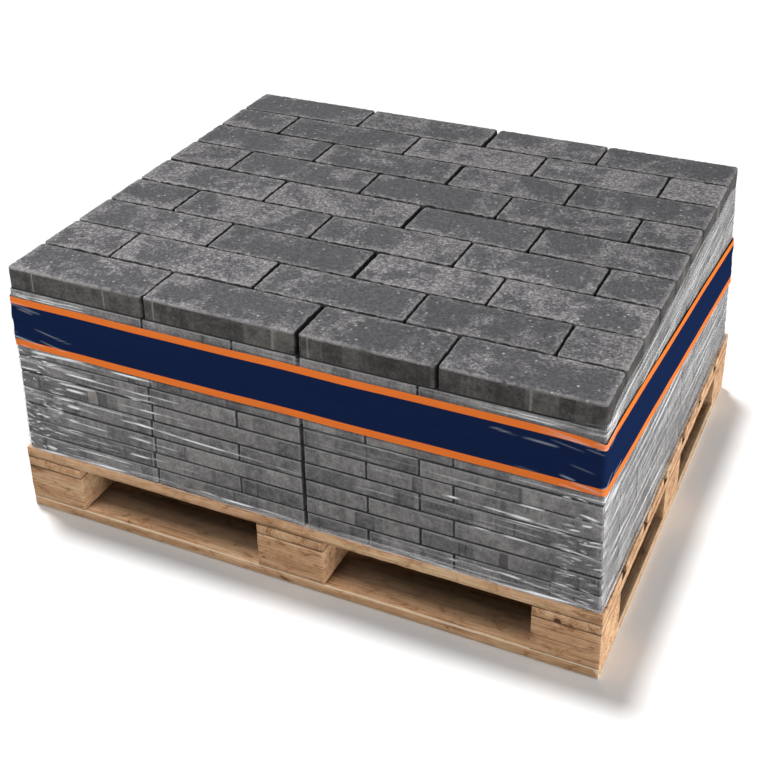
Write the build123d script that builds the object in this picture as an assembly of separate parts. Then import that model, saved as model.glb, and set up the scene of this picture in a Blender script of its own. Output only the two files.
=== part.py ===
from build123d import *
import os

# Pallet of concrete paving blocks in stretch film, with a printed band round the film.
# Millimetres. The origin is the middle of the ground face, +Z up, the long front face towards -Y.

# Wooden pallet: nine blocks, perimeter base, forks go in from all four sides
pallet_length = 1200.0
pallet_width = 1000.0
deck_board_width = 120.0
deck_board_thickness = 22.0
deck_board_count = 7
stringer_board_thickness = 22.0
end_block_length = 126.0
centre_block_length = 140.0
block_height = 78.0
base_board_width = 120.0
base_board_thickness = 22.0
board_arris = 2.0
block_arris = 1.5

# Paving blocks, laid in rows that run along the pallet
row_count = 9
paver_width = 107.5
paver_height = 37.0
top_paver_height = 45.0
paver_chamfer = 4.0
joint = 2.5
lower_layer_count = 10

# The stack was set down as packs, so two wider joints run through it from top to bottom
pack_joint = 6.0
front_pack_rows = 5

# Blocks of the top layer's front row, from the left in each pack. They set the length of the packs.
top_row_left = [300.0, 309.5]
top_row_right = [255.0, 284.5]

# Blocks of the other rows, from the left. One more block fills what is left of each pack or row.
lower_row_a = ([295.0, 185.0], [220.0])
lower_row_b = ([300.0], [120.0, 160.0])
top_row_across = [152.0, 310.0, 298.0, 270.0]

# Stretch film and printed band
wrap_clearance = 0.3
film_thickness = 0.8
band_thickness = 0.6
band_height = 108.0
band_front_top_drop = 18.0
band_fall_to_back = 107.0

base_top = base_board_thickness
block_top = base_top + block_height
stringer_top = block_top + stringer_board_thickness
deck_top = stringer_top + deck_board_thickness
left_pack_length = sum(top_row_left) + joint * (len(top_row_left) - 1)
right_pack_length = sum(top_row_right) + joint * (len(top_row_right) - 1)
row_length = left_pack_length + pack_joint + right_pack_length
front_pack_width = front_pack_rows * (paver_width + joint) - joint
back_pack_rows = row_count - front_pack_rows
back_pack_width = back_pack_rows * (paver_width + joint) - joint
load_width = front_pack_width + pack_joint + back_pack_width
top_layer_z = deck_top + lower_layer_count * paver_height


def board(length, width, thickness, arris):
    """A sawn board along X with its long arrises taken off, standing on Z = 0."""
    blank = Box(length, width, thickness, align=(Align.CENTER, Align.CENTER, Align.MIN))
    return chamfer(blank.edges().filter_by(Axis.X), arris)


def block(length):
    """A sawn block with its upright arrises taken off, as wide as the board under it, standing on Z = 0."""
    blank = Box(length, base_board_width, block_height, align=(Align.CENTER, Align.CENTER, Align.MIN))
    return chamfer(blank.edges().filter_by(Axis.Z), block_arris)


def columns():
    """The three columns of blocks from the left: name, X and length, the outer two flush with the ends."""
    end_x = (pallet_length - end_block_length) / 2
    return (
        ("left", -end_x, end_block_length),
        ("centre", 0, centre_block_length),
        ("right", end_x, end_block_length),
    )


def spread(count, span, width):
    """Middles of pieces of one width that share a span evenly, the outer two flush with its ends."""
    first = (width - span) / 2
    pitch = (span - width) / (count - 1)
    return [first + pitch * i for i in range(count)]


def deck_boards():
    blank = board(pallet_length, deck_board_width, deck_board_thickness, board_arris)
    places = spread(deck_board_count, pallet_width, deck_board_width)
    return {f"deck_board_{i + 1}": Pos(0, y, stringer_top) * blank for i, y in enumerate(places)}


def stringer_boards():
    """One board over each column of blocks, as wide as the blocks are long."""
    made = {}
    for side, (_, x, length) in zip(("left", "middle", "right"), columns()):
        blank = board(pallet_width, length, stringer_board_thickness, board_arris)
        made[f"stringer_board_{side}"] = Pos(x, 0, block_top) * Rot(0, 0, 90) * blank
    return made


def blocks():
    nine = {}
    for row, y in zip(("front", "middle", "back"), spread(3, pallet_width, base_board_width)):
        for side, x, length in columns():
            nine[f"block_{row}_{side}"] = Pos(x, y, base_top) * block(length)
    return nine


def base_boards():
    """Three boards along the pallet and two across its ends under the blocks, all on the ground."""
    full = board(pallet_length, base_board_width, base_board_thickness, board_arris)
    between_sides = pallet_length - 2 * end_block_length
    middle = board(between_sides, base_board_width, base_board_thickness, board_arris)
    between_ends = pallet_width - 2 * base_board_width
    side = board(between_ends, end_block_length, base_board_thickness, board_arris)
    front_y, _, back_y = spread(3, pallet_width, base_board_width)
    left_x, _, right_x = (x for _, x, _ in columns())
    return {
        "base_board_front": Pos(0, front_y, 0) * full,
        "base_board_middle": middle,
        "base_board_back": Pos(0, back_y, 0) * full,
        "base_board_left": Pos(left_x, 0, 0) * Rot(0, 0, 90) * side,
        "base_board_right": Pos(right_x, 0, 0) * Rot(0, 0, 90) * side,
    }


def paver(length, height):
    """A pressed concrete paving block with the chamfer round its top face, standing on Z = 0."""
    blank = Box(length, paver_width, height, align=(Align.MIN, Align.MIN, Align.MIN))
    return chamfer(blank.faces().sort_by(Axis.Z)[-1].edges(), paver_chamfer)


def lay(lengths, start, end):
    """Start and length of each block between two places: the listed ones, then one that fills the rest."""
    spans = []
    for length in lengths:
        spans.append((start, length))
        start += length + joint
    return spans + [(start, end - start)]


def packed_row(row):
    """A row in two packs, with the wider joint between them."""
    left, right = row
    start = -row_length / 2
    split = start + left_pack_length
    return lay(left, start, split) + lay(right, split + pack_joint, start + row_length)


def row_front(row):
    """Y of a row's front face, counted from the front."""
    behind_pack_joint = pack_joint - joint if row >= front_pack_rows else 0
    return -load_width / 2 + row * (paver_width + joint) + behind_pack_joint


def layer(rows, z, height):
    """One layer of paving blocks, each its own solid, on Z = z."""
    made = {}
    solids = []
    for row in range(row_count):
        for x, length in rows[row % 2]:
            if length not in made:
                made[length] = paver(length, height)
            solids.append(Pos(x, row_front(row), z) * made[length])
    return Compound(children=solids)


def paver_layers():
    """The lower layers break joint by swapping their two rows; the top one has its own rows."""
    row_a, row_b = packed_row(lower_row_a), packed_row(lower_row_b)
    layers = {}
    for i in range(lower_layer_count):
        rows = (row_b, row_a) if i % 2 == 0 else (row_a, row_b)
        layers[f"paver_layer_{i + 1:02d}"] = layer(rows, deck_top + i * paver_height, paver_height)
    top_row = packed_row((top_row_left[:-1], top_row_right[:-1]))
    across = lay(top_row_across, -row_length / 2, row_length / 2)
    top = layer((top_row, across), top_layer_z, top_paver_height)
    layers[f"paver_layer_{lower_layer_count + 1:02d}"] = top
    return layers


def wall_round_load(clearance, thickness, low, high):
    """An upright wall of one thickness all round the stack."""
    inside_x = row_length + 2 * clearance
    inside_y = load_width + 2 * clearance
    ground = (Align.CENTER, Align.CENTER, Align.MIN)
    outer = Box(inside_x + 2 * thickness, inside_y + 2 * thickness, high - low, align=ground)
    inner = Box(inside_x, inside_y, high - low, align=ground)
    return Pos(0, 0, low) * (outer - inner)


def stretch_film():
    """Film wound round the lower layers, from the deck to the underside of the top layer."""
    return wall_round_load(wrap_clearance, film_thickness, deck_top + wrap_clearance, top_layer_z - wrap_clearance)


def printed_band():
    """A band wound once round the film in a tilted loop: level in front, falling along both sides."""
    clearance = 2 * wrap_clearance + film_thickness
    wall = wall_round_load(clearance, band_thickness, deck_top, top_layer_z)
    reach = load_width / 2 + clearance + band_thickness
    front_top = top_layer_z - band_front_top_drop
    back_top = front_top - band_fall_to_back
    side_view = Plane.YZ * Polygon(
        (-reach, front_top - band_height),
        (reach, back_top - band_height),
        (reach, back_top),
        (-reach, front_top),
        align=None,
    )
    return wall & extrude(side_view, amount=row_length, both=True)


os.makedirs("parts", exist_ok=True)
pieces = {**deck_boards(), **stringer_boards(), **blocks(), **base_boards(), **paver_layers()}
pieces["stretch_film"] = stretch_film()
pieces["printed_band"] = printed_band()
for name, shape in pieces.items():
    export_step(shape, f"parts/{name}.step")
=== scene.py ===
import math
import random

import bmesh
import bpy
import numpy as np
from mathutils import Matrix, Vector


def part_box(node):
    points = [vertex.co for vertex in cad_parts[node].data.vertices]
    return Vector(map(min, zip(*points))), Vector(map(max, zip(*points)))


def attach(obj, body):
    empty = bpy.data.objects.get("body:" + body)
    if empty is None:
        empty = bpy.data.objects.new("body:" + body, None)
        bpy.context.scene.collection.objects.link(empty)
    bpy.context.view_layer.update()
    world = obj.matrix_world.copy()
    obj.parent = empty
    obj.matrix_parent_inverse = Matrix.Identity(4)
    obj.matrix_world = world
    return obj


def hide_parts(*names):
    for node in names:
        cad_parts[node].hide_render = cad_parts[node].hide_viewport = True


# Pallet of concrete paving blocks in stretch film, with a printed band round the film.
# Metres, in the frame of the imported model: the long front face looks towards -Y.

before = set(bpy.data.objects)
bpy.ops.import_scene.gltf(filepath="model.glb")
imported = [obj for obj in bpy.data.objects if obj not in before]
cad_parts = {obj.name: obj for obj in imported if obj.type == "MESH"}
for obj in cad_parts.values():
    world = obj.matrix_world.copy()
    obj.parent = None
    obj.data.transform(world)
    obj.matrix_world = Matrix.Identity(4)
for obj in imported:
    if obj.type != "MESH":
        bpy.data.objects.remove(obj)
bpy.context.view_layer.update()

mm = 0.001

# Stack and pallet, as built
paver_width = 107.5 * mm
paver_height = 37 * mm
top_paver_height = 45 * mm
paver_chamfer = 4 * mm
joint = 2.5 * mm
pack_joint = 6 * mm
row_count = 9
front_pack_rows = 5
lower_layer_count = 10
row_length = 1160 * mm
left_pack_length = 612 * mm
load_width = 991 * mm
deck_top = 144 * mm
top_layer_z = deck_top + lower_layer_count * paver_height
lower_row_a = ([295 * mm, 185 * mm], [220 * mm])
lower_row_b = ([300 * mm], [120 * mm, 160 * mm])
top_row_a = ([300 * mm], [255 * mm])
top_row_across = [152 * mm, 310 * mm, 298 * mm, 270 * mm]
foot_spread = 0.022

# Film and band
film_height = 380 * mm
film_stand_off = 1.4 * mm
film_corner = 5 * mm
band_stand_off = 3.6 * mm
band_corner = 7 * mm
band_height = 108 * mm
band_front_top = top_layer_z - 18 * mm
band_fall_to_back = 107 * mm

# How far the brightest crease of the front and fold of the other sides stand out, and that fold's painted
# glint
crease_relief = 1.1 * mm
fold_relief = 1.6 * mm
fold_glint = 0.42

# Camera, where the photograph was taken from
camera_place = (0.9903, -2.1637, 1.7080)
camera_turn = (62.618, 0.855, 24.816)
camera_lens = 61.66
camera_shift_up = -0.1745


def linear(colour):
    """An sRGB hex colour as the linear values that a node takes."""
    channels = [int(colour[i:i + 2], 16) / 255 for i in (1, 3, 5)]
    return [c / 12.92 if c <= 0.04045 else ((c + 0.055) / 1.055) ** 2.4 for c in channels] + [1.0]


def add(tree, kind, sockets=None, stops=None, **settings):
    """Adds a node. sockets gives inputs a value or the output that feeds them, stops a ramp's colours."""
    node = tree.nodes.new("ShaderNode" + kind)
    for name, value in settings.items():
        setattr(node, name, value)
    for name, value in (sockets or {}).items():
        if isinstance(value, bpy.types.NodeSocket):
            tree.links.new(value, node.inputs[name])
        else:
            node.inputs[name].default_value = value
    for i, (place, colour) in enumerate(stops or []):
        spots = node.color_ramp.elements
        spot = spots[i] if i < 2 else spots.new(place)
        spot.position = place
        spot.color = linear(colour)
    return node


def per_metre(size):
    """The scale at which a pattern's features measure this many millimetres."""
    return 1 / (size * mm)


def new_material(name):
    """An empty node material and its output."""
    material = bpy.data.materials.new(name)
    material.use_nodes = True
    material.node_tree.nodes.clear()
    return material, material.node_tree, add(material.node_tree, "OutputMaterial")


def laid_over(tree, face, value, first, last, most, colour):
    """Lays a colour over a face: none where a value is at its first level, most of it at the last."""
    share = add(tree, "MapRange", {"Value": value, "From Min": first, "From Max": last, "To Max": most})
    return add(tree, "Mix", {0: share.outputs[0], 6: face, 7: linear(colour)}, data_type="RGBA").outputs[2]


def deselect():
    """Leaves nothing selected."""
    bpy.ops.object.select_all(action="DESELECT")


def block_of(low, high, name):
    """A block between two corners, its place in its mesh, left in edit mode."""
    deselect()
    low, high = Vector(low), Vector(high)
    bpy.ops.mesh.primitive_cube_add(size=1, location=(low + high) / 2)
    block = bpy.context.object
    block.name = name
    block.scale = high - low
    bpy.ops.object.transform_apply(location=True, rotation=False, scale=True)
    bpy.ops.object.mode_set(mode="EDIT")
    return block


def cut_up(block, cell):
    """Cuts a block across each axis into cells of about one size."""
    corners = np.array([v.co for v in bmesh.from_edit_mesh(block.data).verts])
    low, high = corners.min(0), corners.max(0)
    for axis in range(3):
        count = max(1, round((high[axis] - low[axis]) / cell))
        normal = [float(i == axis) for i in range(3)]
        for i in range(1, count):
            place = [0.0, 0.0, 0.0]
            place[axis] = low[axis] + (high[axis] - low[axis]) * i / count
            bpy.ops.mesh.select_all(action="SELECT")
            bpy.ops.mesh.bisect(plane_co=place, plane_no=normal)


def apply_modifier(piece, kind, **settings):
    """Adds a modifier to a piece and applies it."""
    deselect()
    bpy.context.view_layer.objects.active = piece
    piece.select_set(True)
    modifier = piece.modifiers.new(kind.lower(), kind)
    for name, value in settings.items():
        setattr(modifier, name, value)
    bpy.ops.object.modifier_apply(modifier=modifier.name)


def clouds(name, size, depth=2):
    """A cloud pattern that a Displace modifier reads, its lumps of one size."""
    texture = bpy.data.textures.new(name, "CLOUDS")
    texture.noise_scale = size
    texture.noise_depth = depth
    return texture


def corners_of(mesh):
    """A mesh's vertices as rows of numbers."""
    flat = np.zeros(len(mesh.vertices) * 3, np.float32)
    mesh.vertices.foreach_get("co", flat)
    return flat.reshape(-1, 3).astype(float)


def store(mesh, name, values):
    """Keeps a number or a vector for each vertex in a named attribute."""
    values = np.asarray(values, np.float32)
    vector = values.ndim == 2
    attribute = mesh.attributes.new(name, "FLOAT_VECTOR" if vector else "FLOAT", "POINT")
    attribute.data.foreach_set("vector" if vector else "value", values.ravel())


def placed_copy(blank, offset, turn=0.0):
    """A copy of a piece with its own mesh, turned about its middle and moved inside the mesh."""
    piece = blank.copy()
    piece.data = blank.data.copy()
    middle = Vector(np.array(blank.bound_box).mean(0))
    spin = Matrix.Translation(middle) @ Matrix.Rotation(turn, 4, "Z") @ Matrix.Translation(-middle)
    piece.data.transform(Matrix.Translation(offset) @ spin)
    bpy.context.scene.collection.objects.link(piece)
    return piece


def joined(pieces, name):
    """Several pieces as one mesh."""
    deselect()
    for piece in pieces:
        piece.select_set(True)
    bpy.context.view_layer.objects.active = pieces[0]
    bpy.ops.object.join()
    whole = bpy.context.object
    whole.name = whole.data.name = name
    return whole


def widened(z):
    """How much wider the rows lie at a height: they have slid apart a little towards the stack's foot."""
    return 1 + foot_spread * np.clip(1 - (z - deck_top) / (top_layer_z - deck_top), 0, 1)


def finish_smooth(piece, degrees):
    """Shades a piece smooth, apart from edges sharper than an angle."""
    deselect()
    bpy.context.view_layer.objects.active = piece
    piece.select_set(True)
    bpy.ops.object.shade_smooth_by_angle(angle=math.radians(degrees))


# Concrete paving blocks

def lay(lengths, start, end):
    """Start and length of each block between two places: the listed ones, then one that fills the rest."""
    spans = []
    for length in lengths:
        spans.append((start, length))
        start += length + joint
    return spans + [(start, end - start)]


def packed_row(row):
    """A row in two packs, with the wider joint between them."""
    left, right = row
    split = -row_length / 2 + left_pack_length
    return lay(left, -row_length / 2, split) + lay(right, split + pack_joint, row_length / 2)


def row_front(row):
    """Y of a row's front face, counted from the front."""
    behind_pack_joint = pack_joint - joint if row >= front_pack_rows else 0
    return -load_width / 2 + row * (paver_width + joint) + behind_pack_joint


def paver_blank(length, height, corner, cell, halved):
    """A pressed block, its upright corners rounded and a worn chamfer round its top face, cut into cells,
    and those halved if wanted, to take chips and pits. Its distances from its own faces are kept."""
    blank = block_of((0, 0, 0), (length, paver_width, height), "paver_blank")
    bpy.ops.mesh.select_mode(type="EDGE")
    mesh = bmesh.from_edit_mesh(blank.data)
    for edge in mesh.edges:
        edge.select = abs(edge.verts[0].co.z - edge.verts[1].co.z) > 0.5 * height
    bmesh.update_edit_mesh(blank.data)
    bpy.ops.mesh.bevel(offset=corner, offset_type="OFFSET", segments=3, profile=0.5)
    mesh = bmesh.from_edit_mesh(blank.data)
    for edge in mesh.edges:
        edge.select = all(v.co.z > height - 1e-6 for v in edge.verts)
    bmesh.update_edit_mesh(blank.data)
    bpy.ops.mesh.bevel(offset=paver_chamfer * math.sqrt(2), offset_type="WIDTH", segments=2, profile=0.6)
    cut_up(blank, cell)
    bpy.ops.object.mode_set(mode="OBJECT")
    if halved:
        apply_modifier(blank, "SUBSURF", subdivision_type="SIMPLE", levels=1, render_levels=1)
    co = corners_of(blank.data)
    from_side = np.minimum.reduce([co[:, 0], length - co[:, 0], co[:, 1], paver_width - co[:, 1]])
    below_top = height - co[:, 2]
    store(blank.data, "below_top", below_top)
    store(blank.data, "above_bed", co[:, 2])
    store(blank.data, "from_side", from_side)
    near_arris = np.clip(1 - np.maximum(from_side, below_top) / (3 * paver_chamfer), 0, 1)
    group = blank.vertex_groups.new(name="arris")
    for i in np.nonzero(near_arris > 0.01)[0]:
        group.add([int(i)], float(near_arris[i]), "REPLACE")
    return blank


def paver_layer(number, rows, z, height, corner, cell, halved, chips, seed):
    """One layer of blocks as a joined mesh, each block laid a little out of true and worn its own way."""
    dice = random.Random(seed)
    blanks, blocks = {}, []
    for row in range(row_count):
        for x, length in rows[row % 2]:
            key = round(length, 5)
            if key not in blanks:
                blanks[key] = paver_blank(length, height, corner, cell, halved)
            astray = Vector([dice.uniform(-0.5, 0.5) * mm for _ in range(3)])
            offset = Vector((x, row_front(row), z)) + astray
            block = placed_copy(blanks[key], offset, math.radians(dice.uniform(-0.15, 0.15)))
            store(block.data, "stone", np.full(len(block.data.vertices), dice.random()))
            local = corners_of(blanks[key].data)
            neighbours = [
                (local[:, 0], x > -row_length / 2 + mm),
                (length - local[:, 0], x + length < row_length / 2 - mm),
                (local[:, 1], row > 0),
                (paver_width - local[:, 1], row < row_count - 1),
            ]
            store(block.data, "to_joint", np.minimum.reduce([d for d, there in neighbours if there]))
            co = corners_of(block.data)
            co[:, 0] *= widened(co[:, 2])
            block.data.vertices.foreach_set("co", co.astype(np.float32).ravel())
            blocks.append(block)
    layer = joined(blocks, f"pavers_{number:02d}")
    for blank in blanks.values():
        bpy.data.objects.remove(blank)
    lumps = clouds("lumps", 35 * mm)
    apply_modifier(layer, "DISPLACE", texture=lumps, texture_coords="LOCAL", strength=chips * 0.4,
                   mid_level=0.5)
    wear = clouds("wear", 9 * mm, 3)
    apply_modifier(layer, "DISPLACE", texture=wear, texture_coords="LOCAL", vertex_group="arris",
                   strength=chips * 2.6, mid_level=0.75)
    finish_smooth(layer, 40)
    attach(layer, "root")
    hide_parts(f"paver_layer_{number:02d}")
    return layer


def concrete(name, side_shades, bump_size):
    """Vibro-pressed concrete, through-coloured in two shades: matt, with slate-dark patches where the
    cement skin is closed, paler patches where sand shows, and fine light and dark grains all over."""
    material, tree, output = new_material(name)
    place = add(tree, "TexCoord").outputs["Object"]
    stone, below_top, above_bed, from_side, to_joint = (
        add(tree, "Attribute", attribute_name=kept).outputs["Fac"]
        for kept in ("stone", "below_top", "above_bed", "from_side", "to_joint"))
    own = add(tree, "Math", {0: stone, 1: 61.0}, operation="MULTIPLY").outputs[0]
    patches = add(tree, "TexNoise", {"Vector": place, "W": own, "Scale": per_metre(95), "Detail": 6.0,
                                     "Roughness": 0.66, "Distortion": 0.7},
                  noise_dimensions="4D").outputs["Fac"]
    grains = add(tree, "TexNoise", {"Vector": place, "Scale": per_metre(5.5), "Detail": 4.0,
                                    "Roughness": 0.78}).outputs["Fac"]
    coarse = add(tree, "TexNoise", {"Vector": place, "W": own, "Scale": per_metre(18), "Detail": 3.0,
                                    "Roughness": 0.6}, noise_dimensions="4D").outputs["Fac"]
    ragged = add(tree, "Math", {0: grains, 1: 0.20, 2: patches}, operation="MULTIPLY_ADD").outputs[0]
    ragged = add(tree, "Math", {0: coarse, 1: 0.26, 2: ragged}, operation="MULTIPLY_ADD").outputs[0]
    shade = add(tree, "MapRange", {"Value": stone, "To Min": -0.07, "To Max": 0.07}).outputs[0]
    ragged = add(tree, "Math", {0: ragged, 1: shade}, operation="ADD").outputs[0]
    rim = add(tree, "MapRange", {"Value": from_side, "From Max": 24 * mm, "To Min": 0.08,
                                 "To Max": -0.015}).outputs[0]
    ragged = add(tree, "Math", {0: ragged, 1: rim}, operation="ADD").outputs[0]
    sandy = add(tree, "MapRange", {"Value": ragged, "From Min": 0.68, "From Max": 0.86},
                interpolation_type="SMOOTHSTEP").outputs[0]
    slate = add(tree, "ValToRGB", {"Fac": grains}, [(0.34, "#333235"), (0.50, "#454447"), (0.68, "#5d5b5e")])
    sand = add(tree, "ValToRGB", {"Fac": grains}, [(0.34, "#3f3e41"), (0.50, "#656365"), (0.66, "#989594")])
    top = add(tree, "Mix", {0: sandy, 6: slate.outputs[0], 7: sand.outputs[0]}, data_type="RGBA").outputs[2]
    lime = add(tree, "TexVoronoi", {"Vector": place, "Scale": per_metre(24)})
    speck = add(tree, "MapRange", {"Value": lime.outputs["Distance"], "From Min": 0.14,
                                   "From Max": 0.05}).outputs[0]
    speck = add(tree, "Math", {0: speck, 1: coarse}, operation="MULTIPLY").outputs[0]
    top = add(tree, "Mix", {0: speck, 6: top, 7: linear("#bdbbb8")}, data_type="RGBA").outputs[2]

    # The sides have shades of their own, in upright panels with an upright mark between some of them
    mixed = add(tree, "Math", {0: grains, 1: 0.9, 2: coarse}, operation="MULTIPLY_ADD").outputs[0]
    straight = add(tree, "Mapping", {"Vector": place, "Scale": (1.0, 1.0, 0.02)}).outputs[0]
    panels = add(tree, "TexVoronoi", {"Vector": straight, "W": own, "Scale": per_metre(80)},
                 voronoi_dimensions="4D")
    panel = add(tree, "SeparateColor", {0: panels.outputs["Color"]}).outputs[0]
    mixed = add(tree, "Math", {0: panel, 1: 0.28, 2: mixed}, operation="MULTIPLY_ADD").outputs[0]
    mixed = add(tree, "MapRange", {"Value": mixed, "From Min": 0.82, "From Max": 1.40}).outputs[0]
    side = add(tree, "ValToRGB", {"Fac": mixed}, list(zip((0.0, 0.5, 1.0), side_shades)))
    marks = add(tree, "TexVoronoi", {"Vector": straight, "W": own, "Scale": per_metre(150)},
                voronoi_dimensions="4D", feature="DISTANCE_TO_EDGE").outputs["Distance"]
    mark = add(tree, "MapRange", {"Value": marks, "From Min": 0.014, "From Max": 0.004}).outputs[0]
    mark = add(tree, "Math", {0: mark, 1: grains}, operation="MULTIPLY").outputs[0]
    marked = add(tree, "ValToRGB", {"Fac": panel}, [(0.40, "#262423"), (0.60, "#8b8782")]).outputs[0]
    side = add(tree, "Mix", {0: mark, 6: side.outputs[0], 7: marked}, data_type="RGBA").outputs[2]
    edge = add(tree, "Math", {0: coarse, 1: 5 * mm, 2: below_top}, operation="MULTIPLY_ADD").outputs[0]
    on_side = add(tree, "MapRange", {"Value": edge, "From Min": 5.5 * mm, "From Max": 7.5 * mm}).outputs[0]
    face = add(tree, "Mix", {0: on_side, 6: top, 7: side}, data_type="RGBA").outputs[2]

    # The shoulder of each arris is rubbed paler
    rough = add(tree, "Math", {0: coarse, 1: 40 * mm, 2: from_side}, operation="MULTIPLY_ADD").outputs[0]
    rubbed = add(tree, "MapRange", {"Value": rough, "From Min": 27 * mm, "From Max": 20 * mm,
                                    "To Max": 0.45}).outputs[0]
    on_top = add(tree, "Math", {0: 1.0, 1: on_side}, operation="SUBTRACT").outputs[0]
    rubbed = add(tree, "Math", {0: rubbed, 1: on_top}, operation="MULTIPLY").outputs[0]
    face = add(tree, "Mix", {0: rubbed, 6: face, 7: linear("#878583")}, data_type="RGBA").outputs[2]
    return material, tree, output, {
        "face": face, "grains": grains, "coarse": coarse, "own": own, "to_joint": to_joint,
        "below_top": below_top, "above_bed": above_bed, "bump": bump_size}


def concrete_skin(tree, output, face, parts):
    """The tone of each block, its grain as relief and the matt surface itself."""
    tone = add(tree, "TexWhiteNoise", {"W": parts["own"]}, noise_dimensions="1D").outputs["Value"]
    value = add(tree, "MapRange", {"Value": tone, "To Min": 0.86, "To Max": 1.12}).outputs[0]
    face = add(tree, "HueSaturation", {"Color": face, "Value": value}).outputs[0]
    relief = add(tree, "Bump", {"Height": parts["grains"], "Strength": 0.8, "Distance": parts["bump"] * mm})
    skin = add(tree, "BsdfPrincipled", {"Base Color": face, "Roughness": 0.9, "Normal": relief.outputs[0],
                                        "Specular IOR Level": 0.3})
    tree.links.new(skin.outputs[0], output.inputs["Surface"])


def open_concrete():
    """The open top layer: blocks whose arrises have chipped a little, with ragged painted shade in the
    joints between them and a painted shadow along their foot.
    """
    material, tree, output, parts = concrete("top_pressed_concrete", ("#282625", "#413f3d", "#5d5a57"), 1.0)
    # Painted shade, ragged, in the joints between blocks, and a painted shadow along each block's foot
    edge = add(tree, "Math", {0: parts["coarse"], 1: 14 * mm, 2: parts["to_joint"]},
               operation="MULTIPLY_ADD").outputs[0]
    painted_joint_shade = add(tree, "MapRange", {"Value": edge, "From Min": 9.6 * mm, "From Max": 7.2 * mm}).outputs[0]
    bed = add(tree, "MapRange", {"Value": parts["above_bed"], "From Min": 2.6 * mm,
                                 "From Max": 1.2 * mm}).outputs[0]
    painted_joint_shade = add(tree, "Math", {0: painted_joint_shade, 1: bed}, operation="MAXIMUM").outputs[0]
    face = add(tree, "Mix", {0: painted_joint_shade, 6: parts["face"], 7: linear("#201f1f")}, data_type="RGBA").outputs[2]
    concrete_skin(tree, output, face, parts)
    return material


def wrapped_concrete():
    """The wrapped layers: each joint between layers shows as a painted highlight on an arris with a painted
    shade over it, each upright joint as a painted shade between arrises with fainter painted highlights."""
    material, tree, output, parts = concrete("wrapped_pressed_concrete", ("#4b4a4b", "#6f6d6d", "#94918f"),
                                             0.8)
    # Painted highlight on the chamfer under each layer's top and, fainter, beside each upright joint
    pale = add(tree, "MapRange", {"Value": parts["below_top"], "From Min": 6.4 * mm, "From Max": 3.8 * mm,
                                  "To Max": 0.7}).outputs[0]
    pale = add(tree, "Math", {0: pale, 1: parts["coarse"]}, operation="MULTIPLY").outputs[0]
    upright = add(tree, "MapRange", {"Value": parts["to_joint"], "From Min": 4.5 * mm, "From Max": 2.8 * mm,
                                     "To Max": 0.3}).outputs[0]
    pale = add(tree, "Math", {0: pale, 1: upright}, operation="MAXIMUM").outputs[0]
    face = add(tree, "Mix", {0: pale, 6: parts["face"], 7: linear("#a9a9aa")}, data_type="RGBA").outputs[2]
    # Painted shade in the notch under the next layer, at each block's bed and, to a random depth, in the
    # upright joints
    notch = add(tree, "MapRange", {"Value": parts["below_top"], "From Min": 3.2 * mm,
                                   "From Max": 1.8 * mm}).outputs[0]
    bed = add(tree, "MapRange", {"Value": parts["above_bed"], "From Min": 2.8 * mm,
                                 "From Max": 1.4 * mm}).outputs[0]
    painted_joint_shade = add(tree, "Math", {0: notch, 1: bed}, operation="MAXIMUM").outputs[0]
    gap = add(tree, "MapRange", {"Value": parts["to_joint"], "From Min": 2.4 * mm,
                                 "From Max": 1.2 * mm}).outputs[0]
    depth = add(tree, "TexWhiteNoise", {"W": parts["own"]}, noise_dimensions="1D").outputs["Value"]
    depth = add(tree, "MapRange", {"Value": depth, "To Min": 0.15, "To Max": 0.85}).outputs[0]
    gap = add(tree, "Math", {0: gap, 1: depth}, operation="MULTIPLY").outputs[0]
    painted_joint_shade = add(tree, "Math", {0: painted_joint_shade, 1: gap}, operation="MAXIMUM").outputs[0]
    face = add(tree, "Mix", {0: painted_joint_shade, 6: face, 7: linear("#121213")}, data_type="RGBA").outputs[2]
    concrete_skin(tree, output, face, parts)
    return material


def all_pavers():
    """The ten wrapped layers break joint by swapping two rows. The open top layer has rows of its own."""
    wrapped, opened = wrapped_concrete(), open_concrete()
    row_a, row_b = packed_row(lower_row_a), packed_row(lower_row_b)
    layers = []
    for i in range(lower_layer_count):
        rows = (row_b, row_a) if i % 2 == 0 else (row_a, row_b)
        layer = paver_layer(i + 1, rows, deck_top + i * paver_height, paver_height,
                            corner=3 * mm, cell=24 * mm, halved=False, chips=0.9 * mm, seed=20 + i)
        layer.data.materials.clear()
        layer.data.materials.append(wrapped)
        layers.append(layer)
    across = lay(top_row_across, -row_length / 2, row_length / 2)
    top = paver_layer(lower_layer_count + 1, (packed_row(top_row_a), across), top_layer_z, top_paver_height,
                      corner=8 * mm, cell=14.5 * mm, halved=True, chips=1.3 * mm, seed=33123)
    top.data.materials.clear()
    top.data.materials.append(opened)
    return layers + [top]


# Sawn softwood pallet

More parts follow.
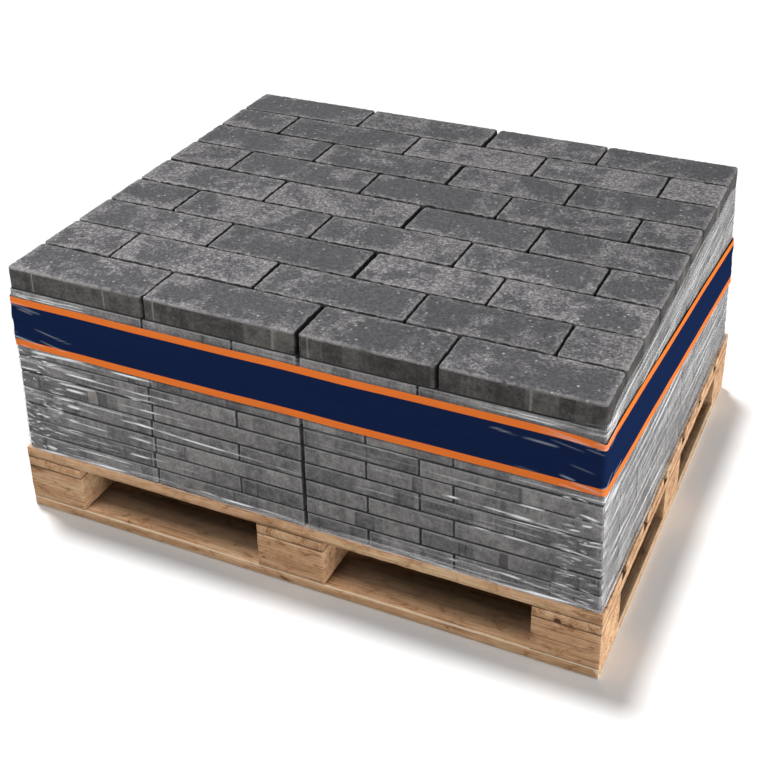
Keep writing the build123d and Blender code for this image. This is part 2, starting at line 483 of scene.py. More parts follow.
def softwood(name):
    """Rough-sawn, heat-treated spruce: dry and matt, its growth rings and fibres along the board, with
    brown knots, resin streaks and some yard dirt, and painted shade in the fork pockets and seams."""
    material, tree, output = new_material(name)
    grain = add(tree, "Attribute", attribute_name="grain").outputs["Vector"]
    board, to_arris, to_seam = (add(tree, "Attribute", attribute_name=kept).outputs["Fac"]
                                for kept in ("board", "to_arris", "to_seam"))
    ring_scale = 0.314 * per_metre(7)  # a wave repeats after pi / 10 of its scale
    slow = add(tree, "Mapping", {"Vector": grain, "Scale": (0.10, 1.0, 1.0)}).outputs[0]
    rings = add(tree, "TexWave", {"Vector": slow, "Scale": ring_scale, "Distortion": 5.0, "Detail": 3.0,
                                  "Detail Scale": 0.6, "Detail Roughness": 0.6},
                wave_type="RINGS", rings_direction="X").outputs["Fac"]
    drawn = add(tree, "Mapping", {"Vector": grain, "Scale": (0.035, 1.0, 1.0)}).outputs[0]
    fibres = add(tree, "TexNoise", {"Vector": drawn, "Scale": per_metre(2.4), "Detail": 4.0,
                                    "Roughness": 0.7}).outputs["Fac"]
    stains = add(tree, "TexNoise", {"Vector": slow, "Scale": per_metre(38), "Detail": 5.0, "Roughness": 0.6,
                                    "Distortion": 0.4}).outputs["Fac"]
    wood = add(tree, "ValToRGB", {"Fac": rings}, [(0.0, "#bd9875"), (0.55, "#d2b28d"), (1.0, "#e0c5a2")])
    stained = add(tree, "ValToRGB", {"Fac": stains}, [(0.28, "#8a6445"), (0.42, "#c09874"),
                                                      (0.56, "#d6b18f"), (0.70, "#e6cca5")])
    wood = add(tree, "Mix", {0: 0.7, 6: wood.outputs[0], 7: stained.outputs[0]}, data_type="RGBA").outputs[2]
    streak = add(tree, "ValToRGB", {"Fac": fibres}, [(0.30, "#b3a18e"), (0.50, "#ece6e0"),
                                                     (0.75, "#ffffff")])
    wood = add(tree, "Mix", {0: 0.8, 6: wood, 7: streak.outputs[0]}, data_type="RGBA",
               blend_type="MULTIPLY").outputs[2]
    far = add(tree, "Mapping", {"Vector": grain, "Scale": (0.02, 1.0, 1.0)}).outputs[0]
    resin = add(tree, "TexNoise", {"Vector": far, "Scale": per_metre(11), "Detail": 3.0,
                                   "Roughness": 0.6}).outputs["Fac"]
    wood = laid_over(tree, wood, resin, 0.60, 0.72, 0.55, "#7d583a")
    short = add(tree, "Mapping", {"Vector": grain, "Scale": (0.45, 1.0, 1.0)}).outputs[0]
    grime = add(tree, "TexNoise", {"Vector": short, "Scale": per_metre(17), "Detail": 5.0, "Roughness": 0.72,
                                   "Distortion": 0.5}).outputs["Fac"]
    grime = add(tree, "ValToRGB", {"Fac": grime}, [(0.32, "#8a6c50"), (0.46, "#efe6dc"), (0.62, "#ffffff")])
    wood = add(tree, "Mix", {0: 0.85, 6: wood, 7: grime.outputs[0]}, data_type="RGBA",
               blend_type="MULTIPLY").outputs[2]
    dots = add(tree, "TexVoronoi", {"Vector": short, "Scale": per_metre(21)})
    dot = add(tree, "SeparateColor", {0: dots.outputs["Color"]}).outputs[1]
    dot = add(tree, "MapRange", {"Value": dot, "From Min": 0.55, "To Max": 0.13}).outputs[0]
    dot = add(tree, "Math", {0: dot, 1: dots.outputs["Distance"]}, operation="SUBTRACT").outputs[0]
    wood = laid_over(tree, wood, dot, 0.0, 0.03, 0.8, "#5a3b24")
    cells = add(tree, "Mapping", {"Vector": grain, "Scale": (0.62, 1.0, 1.0)}).outputs[0]
    knots = add(tree, "TexVoronoi", {"Vector": cells, "Scale": per_metre(52)})
    size = add(tree, "SeparateColor", {0: knots.outputs["Color"]}).outputs[0]
    size = add(tree, "MapRange", {"Value": size, "From Min": 0.45, "To Max": 0.17}).outputs[0]
    inside = add(tree, "Math", {0: size, 1: knots.outputs["Distance"]}, operation="SUBTRACT").outputs[0]
    wood = laid_over(tree, wood, inside, -0.10, 0.0, 0.35, "#8a6140")
    wood = laid_over(tree, wood, inside, 0.0, 0.03, 1.0, "#452c1a")
    value = add(tree, "MapRange", {"Value": board, "To Min": 1.01, "To Max": 1.21}).outputs[0]
    wood = add(tree, "HueSaturation", {"Color": wood, "Value": value}).outputs[0]

    # Pale arrises on the base boards, painted shade on their tops deep in the fork pockets and along the
    # seams where two pieces meet, from ragged distances: how ragged, where each starts and where it is at
    # its most, in mm
    for distance, ragged, first, last, most, colour in (
            (to_arris, 4, 6, 3, 0.7, "#e2cfb4"),
            (to_arris, 12, 15, 48, 0.85, "#3f3022"),
            (to_seam, 3, 4, 2.2, 0.8, "#37261a")):
        edge = add(tree, "Math", {0: stains, 1: ragged * mm, 2: distance}, operation="MULTIPLY_ADD")
        wood = laid_over(tree, wood, edge.outputs[0], first * mm, last * mm, most, colour)
    relief = add(tree, "Bump", {"Height": fibres, "Strength": 0.5, "Distance": 0.8 * mm}).outputs[0]
    skin = add(tree, "BsdfPrincipled", {"Base Color": wood, "Roughness": 0.82, "Normal": relief,
                                        "Specular IOR Level": 0.3})
    tree.links.new(skin.outputs[0], output.inputs["Surface"])
    return material


def timber_blank(size, arris, cell):
    """A sawn board or block of one size round the origin, cut up so that its faces can be uneven."""
    half = Vector(size) / 2
    blank = block_of(-half, half, "timber_blank")
    bpy.ops.mesh.select_all(action="SELECT")
    bpy.ops.mesh.bevel(offset=arris, offset_type="OFFSET", segments=2, affect="EDGES")
    cut_up(blank, cell)
    bpy.ops.object.mode_set(mode="OBJECT")
    apply_modifier(blank, "SUBSURF", subdivision_type="SIMPLE", levels=1, render_levels=1)
    return blank


def pallet():
    """Each board and block of the pallet, in its node's place, with its own run of the grain."""
    dice = random.Random(3)
    spruce = softwood("sawn_spruce")
    saw = clouds("saw_marks", 14 * mm, 3)
    blanks, pieces = {}, []
    names = [n for n in sorted(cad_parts) if n.startswith(("deck_", "stringer_", "block_", "base_"))]
    end_boards = ("base_board_left", "base_board_right")
    for node in names:
        low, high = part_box(node)
        size = tuple(round(d, 5) for d in high - low)
        if size not in blanks:
            blanks[size] = timber_blank(size, 1.4 * mm, (16 if node.startswith("block_") else 20) * mm)
        piece = placed_copy(blanks[size], (low + high) / 2)
        piece.name = piece.data.name = node + "_sawn"
        co = corners_of(piece.data) - np.array((low + high) / 2)
        inward = np.array(high - low) / 2 - np.abs(co)
        on_ground = node.startswith("base_")
        # The distances that set the pale arrises and the painted shade in the fork pockets and along the
        # seams
        to_arris = np.minimum(np.sort(inward)[:, 1], (22 if node in end_boards else 60) * mm)
        store(piece.data, "to_arris", to_arris if on_ground else np.full(len(co), 8 * mm))
        meets = inward[:, 2] if node.startswith(("block_", "stringer_")) else co[:, 2] + (high - low).z / 2
        store(piece.data, "to_seam", np.ones(len(co)) if on_ground else meets)
        if node.startswith("stringer_") or node in end_boards:
            co = co[:, (1, 0, 2)]
        from_pith = [dice.uniform(-3, 3), dice.choice((-1, 1)) * dice.uniform(20, 70) * mm,
                     -dice.uniform(5, 60) * mm]
        store(piece.data, "grain", co + np.array(from_pith))
        store(piece.data, "board", np.full(len(co), dice.random()))
        apply_modifier(piece, "DISPLACE", texture=saw, texture_coords="LOCAL", strength=1.8 * mm,
                       mid_level=0.55)
        finish_smooth(piece, 35)
        piece.data.materials.clear()
        piece.data.materials.append(spruce)
        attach(piece, "root")
        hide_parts(node)
        pieces.append(piece)
    for blank in blanks.values():
        bpy.data.objects.remove(blank)
    return pieces


# Film and band

def waves(x, y, seed, around):
    """Smooth noise from -1 to 1 on a unit grid, closed on itself after a number of cells of x."""
    table = np.random.default_rng(seed).uniform(-1, 1, (around, 61))
    ix, iy = np.floor(x).astype(int), np.floor(y).astype(int)
    fx, fy = x - ix, y - iy
    fx, fy = fx * fx * (3 - 2 * fx), fy * fy * (3 - 2 * fy)
    wide, tall = table.shape
    low = table[ix % wide, iy % tall] * (1 - fx) + table[(ix + 1) % wide, iy % tall] * fx
    high = table[ix % wide, (iy + 1) % tall] * (1 - fx) + table[(ix + 1) % wide, (iy + 1) % tall] * fx
    return low * (1 - fy) + high * fy


def ring_stations(stand_off, corner, flat_steps, corner_step, corner_reach):
    """Places round the stack, from the front left corner along the front: run, point, outward normal, side
    and distance along it. flat_steps are for front, right, back and left. Corners have closer stations."""
    half = np.array([row_length / 2, load_width / 2]) + stand_off
    sides = [
        (np.array([-half[0], -half[1]]), np.array([1.0, 0.0]), 2 * half[0]),
        (np.array([half[0], -half[1]]), np.array([0.0, 1.0]), 2 * half[1]),
        (np.array([half[0], half[1]]), np.array([-1.0, 0.0]), 2 * half[0]),
        (np.array([-half[0], half[1]]), np.array([0.0, -1.0]), 2 * half[1]),
    ]
    runs, points, normals, side_of, along = [], [], [], [], []
    run = 0.0
    for number, (start, way, length) in enumerate(sides):
        outward = np.array([way[1], -way[0]])
        near = np.arange(corner, corner_reach, corner_step)
        middle_count = round((length - 2 * corner_reach) / flat_steps[number])
        middle = np.linspace(corner_reach, length - corner_reach, middle_count + 1)[:-1]
        places = np.concatenate([near, middle, length - near[::-1]])
        for d in places:
            runs.append(run + d)
            points.append(start + way * d)
            normals.append(outward)
            side_of.append(number)
            along.append(d)
        following = sides[(number + 1) % 4][1]
        next_outward = np.array([following[1], -following[0]])
        centre = start + way * (length - corner) - outward * corner
        for part in (0.25, 0.5, 0.75):
            turned = outward * math.cos(part * math.pi / 2) + next_outward * math.sin(part * math.pi / 2)
            runs.append(run + length - corner + part * 2 * corner)
            points.append(centre + turned * corner)
            normals.append(turned)
            side_of.append(number)
            along.append(length)
        run += length
    return tuple(np.array(v) for v in (runs, points, normals, side_of, along)) + (run,)


def ring_mesh(name, points, normals, out, heights, runs, whole_run):
    """A closed ring of cells. out and heights hold each vertex's stand-off and height, column by column."""
    columns, rows = heights.shape
    flat = points[:, None, :] + normals[:, None, :] * out[:, :, None]
    flat[:, :, 0] *= widened(heights)
    vertices = np.concatenate([flat, heights[:, :, None]], axis=2).reshape(-1, 3)
    column = np.arange(columns)[:, None]
    row = np.arange(rows - 1)[None, :]
    after = (column + 1) % columns
    here, there = column * rows + row, after * rows + row
    faces = np.stack([here, there, there + 1, here + 1], axis=2).reshape(-1, 4)
    mesh = bpy.data.meshes.new(name)
    mesh.from_pydata(vertices.tolist(), [], faces.tolist())
    ring = bpy.data.objects.new(name, mesh)
    bpy.context.scene.collection.objects.link(ring)
    next_run = np.append(runs[1:], whole_run + runs[0])
    across = np.arange(rows) / (rows - 1)
    u = np.stack([runs, next_run, next_run, runs], axis=1)[:, None, :].repeat(rows - 1, axis=1)
    v = np.stack([across[:-1], across[:-1], across[1:], across[1:]], axis=1)
    v = v[None, :, :].repeat(columns, axis=0)
    layer = mesh.uv_layers.new(name="run_across")
    layer.data.foreach_set("uv", np.stack([u, v], axis=3).astype(np.float32).ravel())
    for polygon in mesh.polygons:
        polygon.use_smooth = True
    return ring


def crease(run, z, whole_run, start, length, height, slope, bow, width):
    """One crease of the film: a ridge along the run that tapers at both ends and fades over its width."""
    past = (run - start) % whole_run
    share = past / length
    line = height + slope * past + bow * np.sin(np.pi * np.clip(share, 0, 1))
    taper = np.where(share < 1, np.sin(np.pi * np.clip(share, 0, 1)) ** 0.6, 0.0)
    return taper * np.exp(-(((z - line) / width) ** 2))


def band_bottom(points):
    """Height of the band's lower edge: level in front, falling evenly to the back along both sides."""
    back_share = np.clip((points[:, 1] + load_width / 2) / load_width, 0, 1)
    return band_front_top - band_height - band_fall_to_back * back_share


# The front's main creases: start from the left corner, height over the deck, length, slope, brightness
# and width, with lengths in mm
front_creases = (
    (-6, 118, 24, -0.50, 0.8, 1.2), (-4, 90, 29, -0.45, 0.7, 1.2), (-4, 147, 36, -0.09, 0.5, 1.2),
    (0, 193, 49, 0.03, 0.7, 1.3), (22, 4, 76, 0.0, 0.6, 1.5), (30, 224, 37, 0.10, 0.5, 1.2),
    (36, 236, 125, 0.03, 1.0, 2.6), (44, 16, 28, -0.11, 1.0, 2.4), (54, 110, 42, 0.02, 0.6, 1.3),
    (67, 151, 34, 0.04, 0.6, 1.5), (72, 70, 68, -0.08, 0.4, 1.2), (74, 141, 49, 0.03, 0.7, 1.5),
    (77, 184, 54, 0.03, 0.5, 1.8), (87, 24, 34, 0.04, 0.4, 1.2), (88, 178, 86, 0.02, 0.8, 1.8),
    (103, 96, 30, -0.07, 1.0, 2.1), (105, 168, 48, -0.02, 1.0, 2.2), (107, 130, 30, -0.03, 1.0, 2.5),
    (109, 205, 76, -0.01, 1.0, 1.8), (119, 30, 84, 0.0, 0.8, 1.5), (123, 6, 107, 0.02, 0.8, 1.4),
    (124, 143, 144, 0.0, 0.5, 1.0), (129, 94, 66, -0.02, 0.85, 1.4), (133, 130, 52, -0.08, 0.3, 1.1),
    (140, 61, 65, -0.02, 0.3, 1.1), (178, 204, 66, 0.0, 0.65, 1.1), (202, 30, 44, -0.01, 0.5, 1.1),
    (218, 236, 92, 0.01, 0.8, 1.8), (228, 13, 120, 0.02, 0.4, 1.2), (229, 131, 40, 0.0, 0.6, 1.4),
    (231, 167, 41, 0.0, 0.3, 1.2), (243, 56, 46, 0.0, 0.85, 1.6), (244, 204, 60, -0.02, 0.75, 1.3),
    (247, 97, 50, -0.05, 0.95, 1.7), (260, 132, 46, -0.04, 1.0, 2.0), (271, 167, 52, 0.0, 0.9, 1.5),
    (287, 58, 36, 0.0, 0.4, 1.1), (288, 205, 80, -0.01, 0.55, 1.1), (296, 94, 60, -0.02, 0.4, 1.1),
    (303, 130, 60, -0.04, 0.8, 1.3), (322, 168, 42, -0.02, 0.4, 1.1), (355, 127, 110, -0.02, 0.9, 1.3),
    (393, 16, 50, -0.08, 0.5, 1.2), (438, 12, 76, 0.0, 0.8, 1.4), (455, 125, 90, -0.02, 0.4, 1.1),
    (513, 14, 87, -0.03, 0.4, 1.2), (548, 121, 65, -0.03, 0.3, 1.1), (801, 9, 147, -0.03, 0.3, 1.2),
    (889, 161, 26, -0.01, 0.75, 1.9), (890, 27, 22, -0.08, 0.6, 1.3), (935, 110, 32, 0.0, 0.6, 1.3),
    (947, 5, 88, 0.0, 0.6, 1.3), (950, 26, 36, 0.0, 0.6, 1.2), (956, 160, 48, -0.04, 0.55, 1.4),
    (982, 28, 44, -0.06, 1.0, 1.6), (993, 110, 46, -0.02, 0.95, 1.6), (1000, 146, 75, 0.02, 0.6, 1.2),
    (1000, 158, 44, -0.05, 1.0, 2.3), (1019, 184, 46, -0.01, 1.0, 1.5), (1022, 25, 50, -0.12, 0.45, 1.1),
    (1031, 7, 97, 0.0, 0.8, 1.4), (1036, 109, 36, -0.02, 0.45, 1.1), (1040, 155, 78, -0.02, 0.5, 1.1),
    (1068, 19, 86, -0.15, 0.5, 1.2), (1073, 150, 36, -0.16, 0.7, 1.3), (1076, 120, 86, -0.11, 0.6, 1.2),
    (1078, 232, 70, 0.0, 0.4, 1.1), (1122, 197, 34, -0.20, 0.9, 1.4), (1124, 136, 37, 0.08, 0.6, 1.3),
    (1126, 175, 20, 0.10, 1.0, 1.9), (1136, 7, 28, -0.08, 0.8, 1.4),
)

# Smaller creases of the front by zone: how many, shares of the front, lengths in mm, slopes, width in mm,
# brightness and heights, each pair the least and the most
below_band = (deck_top + 8 * mm, top_layer_z - 132 * mm)
above_foot = (deck_top + 3 * mm, deck_top + 14 * mm)
above_band = (top_layer_z - 16 * mm, top_layer_z - 6 * mm)
front_zones = (
    (26, (0.04, 0.34), (15, 70), (-0.05, 0.02), 1.2, (0.15, 0.60), below_band),
    (26, (0.60, 0.98), (60, 240), (-0.06, 0.01), 1.2, (0.06, 0.35), below_band),
    (10, (0.05, 0.95), (120, 420), (-0.004, 0.004), 1.3, (0.15, 0.5), above_foot),
    (9, (0.05, 0.90), (80, 300), (-0.01, 0.01), 1.3, (0.02, 0.12), above_band),
    (9, (0.00, 0.12), (30, 120), (-0.03, 0.01), 1.2, (0.4, 0.9), above_band),
    (10, (0.84, 1.0), (40, 150), (-0.02, 0.01), 1.1, (0.15, 0.6), above_band),
    (70, (0.0, 0.08), (5, 20), (-0.45, 0.3), 1.1, (0.4, 1.0), below_band),
    (40, (0.94, 1.0), (6, 28), (-0.35, 0.2), 1.2, (0.3, 1.0), below_band),
)

# Folds of the other sides, the second row at the near right corner: how many, where the side starts along
# the run, its length, the share of it over which they start, and lengths in mm
side_folds = (
    (90, row_length, load_width, 0.75, (150, 650)),
    (34, row_length, load_width, 0.06, (50, 180)),
    (60, row_length + load_width, row_length, 0.75, (150, 650)),
    (60, 2 * row_length + load_width, load_width, 0.75, (150, 650)),
)


def film_creases(run, z, whole):
    """How far the creases stand out of the film and how bright the painted glint along each is. Those of
    the front run nearly level, and the folds of the other sides fan out from the corners."""
    dice = random.Random(11)
    # The painted glint along each crease is kept as white
    relief, white = np.zeros_like(z), np.zeros_like(z)
    for start, height, length, slope, bright, width in front_creases:
        line = crease(run, z, whole, start * mm, length * mm, deck_top + height * mm, slope, 0.0,
                      width * mm)
        relief += crease_relief * bright * line
        white = np.maximum(white, bright * line)
    for number, shares, lengths, slopes, width, (dim, strong), heights in front_zones:
        for _ in range(number):
            length = dice.uniform(*lengths) * mm
            start = dice.uniform(*shares) * row_length - length / 2
            height = dice.uniform(*heights)
            line = crease(run, z, whole, start, length, height, dice.uniform(*slopes),
                          dice.uniform(-1, 2) * mm, width * dice.uniform(0.8, 1.3) * mm)
            bright = dim + (strong - dim) * dice.random() ** 2
            relief += crease_relief * bright * line
            white = np.maximum(white, bright * line)
    for number, first_run, side_length, last, lengths in side_folds:
        for _ in range(number):
            length = dice.uniform(*lengths) * mm
            start = first_run + dice.uniform(-0.02, last) * side_length
            height = dice.uniform(deck_top, top_layer_z)
            fan = (height - (deck_top + top_layer_z) / 2) * 0.25
            line = crease(run, z, whole, start, length, height, fan + dice.uniform(-0.03, 0.03),
                          dice.uniform(-6, 6) * mm, dice.uniform(1.6, 4) * mm)
            bright = dice.uniform(0.1, 1.0) ** 2
            relief += fold_relief * bright * line
            white = np.maximum(white, fold_glint * bright * line)
    return relief, white


def film():
    """Clear film wound round the stack: pulled in at the layer joints, creased along its run, gathered
    at the corners, turned out on the deck at its foot and left loose at the top on the right side."""
    runs, points, normals, side_of, along, whole = ring_stations(
        film_stand_off, film_corner, (8 * mm, 12 * mm, 26 * mm, 26 * mm), 4 * mm, 64 * mm)
    rows = 220
    front, right, back, left = (side_of == i for i in range(4))
    side_length = np.where(front | back, row_length, load_width)
    to_corner = np.minimum(along, side_length - along)
    share = along / side_length

    # Upper edge: just under the top layer in front, standing loose over it on the right side
    loose = np.where(right, np.clip(np.minimum(along, load_width - along) / (60 * mm), 0, 1), 0.0)
    by_corner = np.clip(1 - (row_length - along) / (90 * mm), 0, 1) * 0.6
    loose = np.maximum(loose, np.where(front, by_corner, 0.0))
    by_corner = np.clip(1 - along / (60 * mm), 0, 1) * 0.6
    loose = np.maximum(loose, np.where(right, by_corner, 0.0))
    ripple = waves(runs / whole * 60, runs * 0, 1, 60) * 2 * mm
    sway = 4 * mm * waves(runs / whole * 24, runs * 0, 2, 24)
    upper = top_layer_z - 3 * mm + ripple + loose * (20 * mm + sway)
    lower = deck_top + 1.0 * mm + 1.2 * mm * np.abs(waves(runs / whole * 90, runs * 0, 3, 90))
    part = np.linspace(0, 1, rows)[None, :]
    z = lower[:, None] + (upper - lower)[:, None] * part
    run = np.repeat(runs[:, None], rows, axis=1)

    # Pulled in a little at each layer joint
    out = np.zeros_like(z)
    joint_phase = (z - deck_top + 1.5 * mm) / paver_height
    from_joint = (joint_phase - np.round(joint_phase)) * paver_height
    pull = 0.6 + 0.4 * waves(run / whole * 50, z / paver_height, 4, 50)
    out -= 1.1 * mm * pull * np.exp(-((from_joint / (2.6 * mm)) ** 2))

    # Long faint creases everywhere, and small crinkles at the corners
    drift = 9 * mm * waves(run / whole * 9, z / (120 * mm), 5, 9)
    for cells, tall, height, seed in ((13, 14, 0.55, 6), (22, 8, 0.40, 7), (40, 5, 0.22, 8)):
        out += height * mm * waves(run / whole * cells, (z + drift) / (tall * mm), seed, cells)
    near = np.exp(-to_corner / (32 * mm))[:, None]
    out += near * 0.9 * mm * waves(run / whole * 330, (z + drift) / (7 * mm), 9, 330)
    out += near * 0.5 * mm * waves(run / whole * 560, (z + drift) / (4.5 * mm), 10, 560)

    relief, white = film_creases(run, z, whole)
    out += relief

    # Upright row of small dark crinkles on the right side, over the wider joint between the packs
    from_joint = np.where(right, along - front_pack_rows * (paver_width + joint), load_width)
    crinkle = np.exp(-((from_joint / (9 * mm)) ** 2))[:, None]
    out += crinkle * (-2.0 * mm + 1.4 * mm * waves(run / whole * 700, z / (6 * mm), 15, 700))

    # Under the band it lies flat, at its foot it turns out onto the deck
    from_band_middle = np.abs(z - band_bottom(points)[:, None] - band_height / 2)
    under_band = np.clip(1 - from_band_middle / (band_height * 0.52), 0, 1)
    out *= 1 - np.clip(under_band * 8, 0, 1) * 0.85
    foot = np.clip(1 - (z - lower[:, None]) / (9 * mm), 0, 1) ** 2
    out += foot * (1.5 + 1.2 * waves(run / whole * 70, z * 0, 12, 70)) * mm
    out = np.maximum(out, -1.1 * mm)
    out += 2 * mm * np.clip(1 - (z - deck_top) / (40 * mm), 0, 1) ** 1.5

    piece = ring_mesh("film_wrap", points, normals, out, z, runs, whole)

    # Milky where many turns lie on each other, hardly in front, more on the other sides and most at the
    # foot. On the right side, most at its near corner, and in a strip just under the band it is a painted
    # sheen as well
    veil_and_sheen = np.select([front, right, back, left], [0.006, 0.05, 0.08, 0.08])
    veil_and_sheen += np.where(front, 0.025 * np.exp(-((share - 0.12) / 0.14) ** 2), 0.0)
    veil_and_sheen += np.where(front, 0.015 * np.exp(-((share - 0.92) / 0.12) ** 2), 0.0)
    veil_and_sheen = veil_and_sheen[:, None] * (1 + 0.5 * waves(run / whole * 16, z / (45 * mm), 13, 16))
    # Painted sheen at the near right corner
    veil_and_sheen += np.where(right, 0.24 * np.exp(-along / (35 * mm)), 0.0)[:, None]
    veil_and_sheen *= 1 - 0.7 * crinkle
    # A strip of painted sheen just under the band in front
    painted_sheen_under_band = np.abs(z - (band_front_top - band_height - 6 * mm)) < 7 * mm
    veil_and_sheen += np.where(front, 0.02, 0.0)[:, None] * painted_sheen_under_band
    veil_and_sheen += 0.03 * np.clip((z - top_layer_z) / (10 * mm), 0, 1) + 0.2 * foot
    veil_and_sheen += near * 0.03
    store(piece.data, "veil_and_sheen", np.clip(veil_and_sheen, 0, 1).ravel())
    # The painted glints along the creases
    store(piece.data, "white", np.clip(white, 0, 1).ravel())
    piece.data.materials.append(stretch_film_finish())
    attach(piece, "root")
    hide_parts("stretch_film")
    return piece


def stretch_film_finish():
    """Blown linear polyethylene stretch film: clear and glossy, milky where several turns lie on each other,
    with a painted sheen in places and painted glints where it is creased."""
    material, tree, output = new_material("polyethylene_stretch_film")
    veil_and_sheen, white = (add(tree, "Attribute", attribute_name=kept).outputs["Fac"] for kept in ("veil_and_sheen", "white"))
    across = add(tree, "UVMap", uv_map="run_across").outputs[0]
    drawn = add(tree, "Mapping", {"Vector": across, "Scale": (0.05, film_height, 1.0)}).outputs[0]
    threads = add(tree, "TexNoise", {"Vector": drawn, "Scale": per_metre(5.0), "Detail": 3.0,
                                     "Roughness": 0.6}, noise_dimensions="2D").outputs["Fac"]
    streaky = add(tree, "MapRange", {"Value": threads, "From Min": 0.36, "From Max": 0.68, "To Min": 0.1,
                                     "To Max": 2.4}).outputs[0]
    broken = add(tree, "MapRange", {"Value": threads, "From Min": 0.32, "From Max": 0.60, "To Min": 0.7,
                                    "To Max": 1.9}).outputs[0]
    # Painted glints along the creases, broken up along the film's threads
    painted_crease_glints = add(tree, "Math", {0: white, 1: broken}, operation="MULTIPLY").outputs[0]
    cover = add(tree, "Math", {0: veil_and_sheen, 1: streaky, 2: painted_crease_glints}, operation="MULTIPLY_ADD",
                use_clamp=True).outputs[0]
    relief = add(tree, "Bump", {"Height": threads, "Strength": 0.5, "Distance": 0.5 * mm}).outputs[0]
    haze = add(tree, "BsdfPrincipled", {"Base Color": linear("#eef0f2"), "Roughness": 0.22, "Normal": relief,
                                        "Specular IOR Level": 0.2, "IOR": 1.5})
    gloss = add(tree, "BsdfGlossy", {"Color": linear("#ffffff"), "Roughness": 0.12, "Normal": relief})
    mirror = add(tree, "Fresnel", {"IOR": 1.5, "Normal": relief}).outputs[0]
    mirror = add(tree, "MapRange", {"Value": mirror, "From Min": 0.025, "To Max": 0.14}).outputs[0]
    mirror = add(tree, "Math", {0: white, 1: 0.15, 2: mirror}, operation="MULTIPLY_ADD").outputs[0]
    clear = add(tree, "BsdfTransparent")
    pane = add(tree, "MixShader", {0: mirror, 1: clear.outputs[0], 2: gloss.outputs[0]})
    surface = add(tree, "MixShader", {0: cover, 1: pane.outputs[0], 2: haze.outputs[0]})
    tree.links.new(surface.outputs[0], output.inputs["Surface"])
    return material


def band():
    """A printed band wound once over the film: smooth, pinched at the near right corner where the film
    gathers.
    """
    runs, points, normals, side_of, along, whole = ring_stations(
        band_stand_off, band_corner, (14 * mm, 14 * mm, 26 * mm, 26 * mm), 3 * mm, 100 * mm)
    rows = 70
    front, right, back = (side_of == i for i in range(3))
    side_length = np.where(front | back, row_length, load_width)
    to_corner = np.minimum(along, side_length - along)
    part = np.linspace(0, 1, rows)[None, :]
    bottom = band_bottom(points)
    pinch = np.where(front, np.exp(-(row_length - along) / (45 * mm)), 0.0)
    pinch = np.maximum(pinch, np.where(right, np.exp(-along / (45 * mm)), 0.0))
    run = np.repeat(runs[:, None], rows, axis=1)
    z = bottom[:, None] + band_height * part
    z -= pinch[:, None] * 7 * mm * part ** 3
    z += 0.8 * mm * waves(run / whole * 30, z * 0, 31, 30)
    out = 0.5 * mm * waves(run / whole * 14, z / (40 * mm), 32, 14)
    near = np.exp(-to_corner / (40 * mm))[:, None]
    out += near * 0.9 * mm * waves(run / whole * 120 + part * 5, z / (14 * mm), 33, 120)
    out += 0.25 * mm * waves(run / whole * 60, z / (9 * mm), 34, 60)
    out = np.maximum(out, -1.2 * mm)
    piece = ring_mesh("band_wrap", points, normals, out, z, runs, whole)

    # Small glints round both front corners, most of them near the band's edges
    glint = np.zeros_like(z)
    dice = random.Random(17)
    for corner_run in (0.0, row_length):
        for _ in range(26):
            length = dice.uniform(14, 80) * mm
            middle = corner_run + dice.gauss(0, 55) * mm
            slope = dice.uniform(0.04, 0.22) * (-1 if 0 <= middle < row_length else 1)
            drop = dice.choice((dice.uniform(0, 26), dice.uniform(84, 108), dice.uniform(0, 108))) * mm
            line = crease(run, z, whole, middle - length / 2, length, band_front_top - drop, slope, 0.0,
                          dice.uniform(0.8, 1.8) * mm)
            glint = np.maximum(glint, dice.uniform(0.1, 0.6) * line)
    store(piece.data, "glint", glint.ravel())
    piece.data.materials.append(printed_band_finish())
    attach(piece, "root")
    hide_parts("printed_band")
    return piece


def printed_band_finish():
    """Printed polyethylene band: smooth, navy with an orange stripe along each edge, and pale glints where
    it catches the light at the front corners."""
    material, tree, output = new_material("printed_polyethylene_band")
    across = add(tree, "UVMap", uv_map="run_across").outputs[0]
    height = add(tree, "SeparateXYZ", {0: across}).outputs["Y"]
    middle = add(tree, "Math", {0: height, 1: 0.5}, operation="SUBTRACT").outputs[0]
    middle = add(tree, "Math", {0: middle}, operation="ABSOLUTE").outputs[0]
    stripe = add(tree, "MapRange", {"Value": middle, "From Min": 0.361, "From Max": 0.369}).outputs[0]
    ink = add(tree, "Mix", {0: stripe, 6: linear("#152344"), 7: linear("#e77834")},
              data_type="RGBA").outputs[2]
    glint = add(tree, "Attribute", attribute_name="glint").outputs["Fac"]
    ink = add(tree, "Mix", {0: glint, 6: ink, 7: linear("#d9dde6")}, data_type="RGBA").outputs[2]
    drawn = add(tree, "Mapping", {"Vector": across, "Scale": (1.0, band_height, 1.0)}).outputs[0]
    soft = add(tree, "TexNoise", {"Vector": drawn, "Scale": per_metre(30), "Detail": 2.0},
               noise_dimensions="2D").outputs["Fac"]
    relief = add(tree, "Bump", {"Height": soft, "Strength": 0.3, "Distance": 1.0 * mm}).outputs[0]
    skin = add(tree, "BsdfPrincipled", {"Base Color": ink, "Roughness": 0.28, "Normal": relief,
                                        "Specular IOR Level": 0.0})
    tree.links.new(skin.outputs[0], output.inputs["Surface"])
    return material


# Studio

def background_seen(tree):
    """1 for rays that see the background itself or its mirror image, 0 for rays that carry light."""
    ray = add(tree, "LightPath").outputs
    seen = ray["Is Camera Ray"]
    for kind in ("Is Glossy Ray", "Is Transmission Ray"):
        seen = add(tree, "Math", {0: seen, 1: ray[kind]}, operation="MAXIMUM").outputs[0]
    return seen


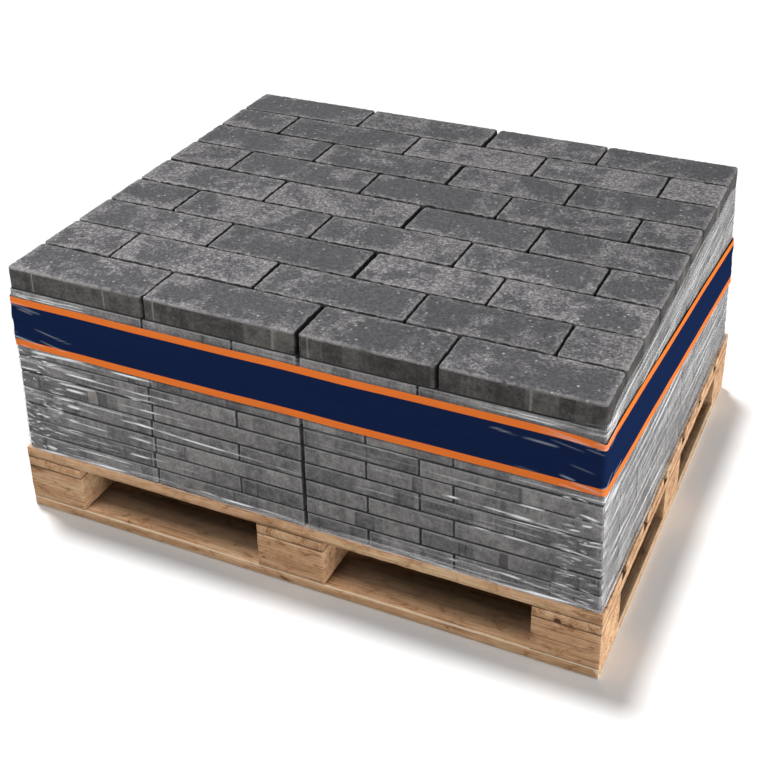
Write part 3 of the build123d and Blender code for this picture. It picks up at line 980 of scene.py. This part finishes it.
def studio():
    """A white floor that keeps the shadow, a pale world, a key from above and behind, and two soft fills."""
    scene = bpy.context.scene
    scene.view_settings.view_transform = "Standard"
    deselect()
    bpy.ops.mesh.primitive_plane_add(size=60, location=(0, 0, -0.5 * mm))
    floor = bpy.context.object
    floor.name = "studio_floor"
    material, tree, output = new_material("white_paper_floor")
    seen = background_seen(tree)
    white = add(tree, "Mix", {0: seen, 6: linear("#a4a4a4"), 7: linear("#fafafa")},
                data_type="RGBA").outputs[2]
    paper = add(tree, "BsdfDiffuse", {"Color": white})
    lift = add(tree, "Math", {0: seen, 1: 0.19}, operation="MULTIPLY").outputs[0]
    glow = add(tree, "Emission", {"Color": linear("#ffffff"), "Strength": lift})
    both = add(tree, "AddShader", {0: paper.outputs[0], 1: glow.outputs[0]})
    tree.links.new(both.outputs[0], output.inputs["Surface"])
    floor.data.materials.append(material)

    world = bpy.data.worlds.new("studio_world")
    scene.world = world
    world.use_nodes = True
    tree = world.node_tree
    tree.nodes.clear()
    output = add(tree, "OutputWorld")
    level = add(tree, "MapRange", {"Value": background_seen(tree), "To Min": 0.10}).outputs[0]
    sky = add(tree, "Background", {"Color": linear("#ffffff"), "Strength": level})
    tree.links.new(sky.outputs[0], output.inputs["Surface"])

    key = bpy.data.lights.new("key_lamp", "SUN")
    key.energy, key.angle = 2.4, math.radians(6)
    aim(key, (-0.40, 0.26, 2.6))
    for name, place, wide, tall, power in (
            ("front_fill", (-1.0, -2.25, 2.9), 2.0, 0.8, 100),
            ("side_fill", (6.8, -0.9, 0.5), 2.4, 0.6, 490)):
        data = bpy.data.lights.new(name, "AREA")
        data.shape = "RECTANGLE"
        data.size, data.size_y, data.energy = wide, tall, power
        aim(data, place)

    # The front fill leaves the floor to the key, so that the shadow in front of the pallet shows
    unlit = bpy.data.collections.new("not_lit_by_front_fill")
    unlit.objects.link(floor)
    unlit.collection_objects[0].light_linking.link_state = "EXCLUDE"
    bpy.data.objects["front_fill"].light_linking.receiver_collection = unlit


def aim(lamp, place):
    """Hangs a lamp at a place and turns it to the middle of the stack."""
    hung = bpy.data.objects.new(lamp.name, lamp)
    hung.location = place
    hung.rotation_euler = (Vector((0, 0, 0.3)) - Vector(place)).to_track_quat("-Z", "Y").to_euler()
    bpy.context.scene.collection.objects.link(hung)


def camera():
    """The camera, as fitted to the photograph."""
    data = bpy.data.cameras.new("camera")
    data.lens, data.sensor_width, data.shift_y = camera_lens, 36, camera_shift_up
    view = bpy.data.objects.new("camera", data)
    view.location = camera_place
    view.rotation_euler = [math.radians(a) for a in camera_turn]
    bpy.context.scene.collection.objects.link(view)
    bpy.context.scene.camera = view


camera()
studio()
pallet()
pavers = all_pavers()
film()
band()
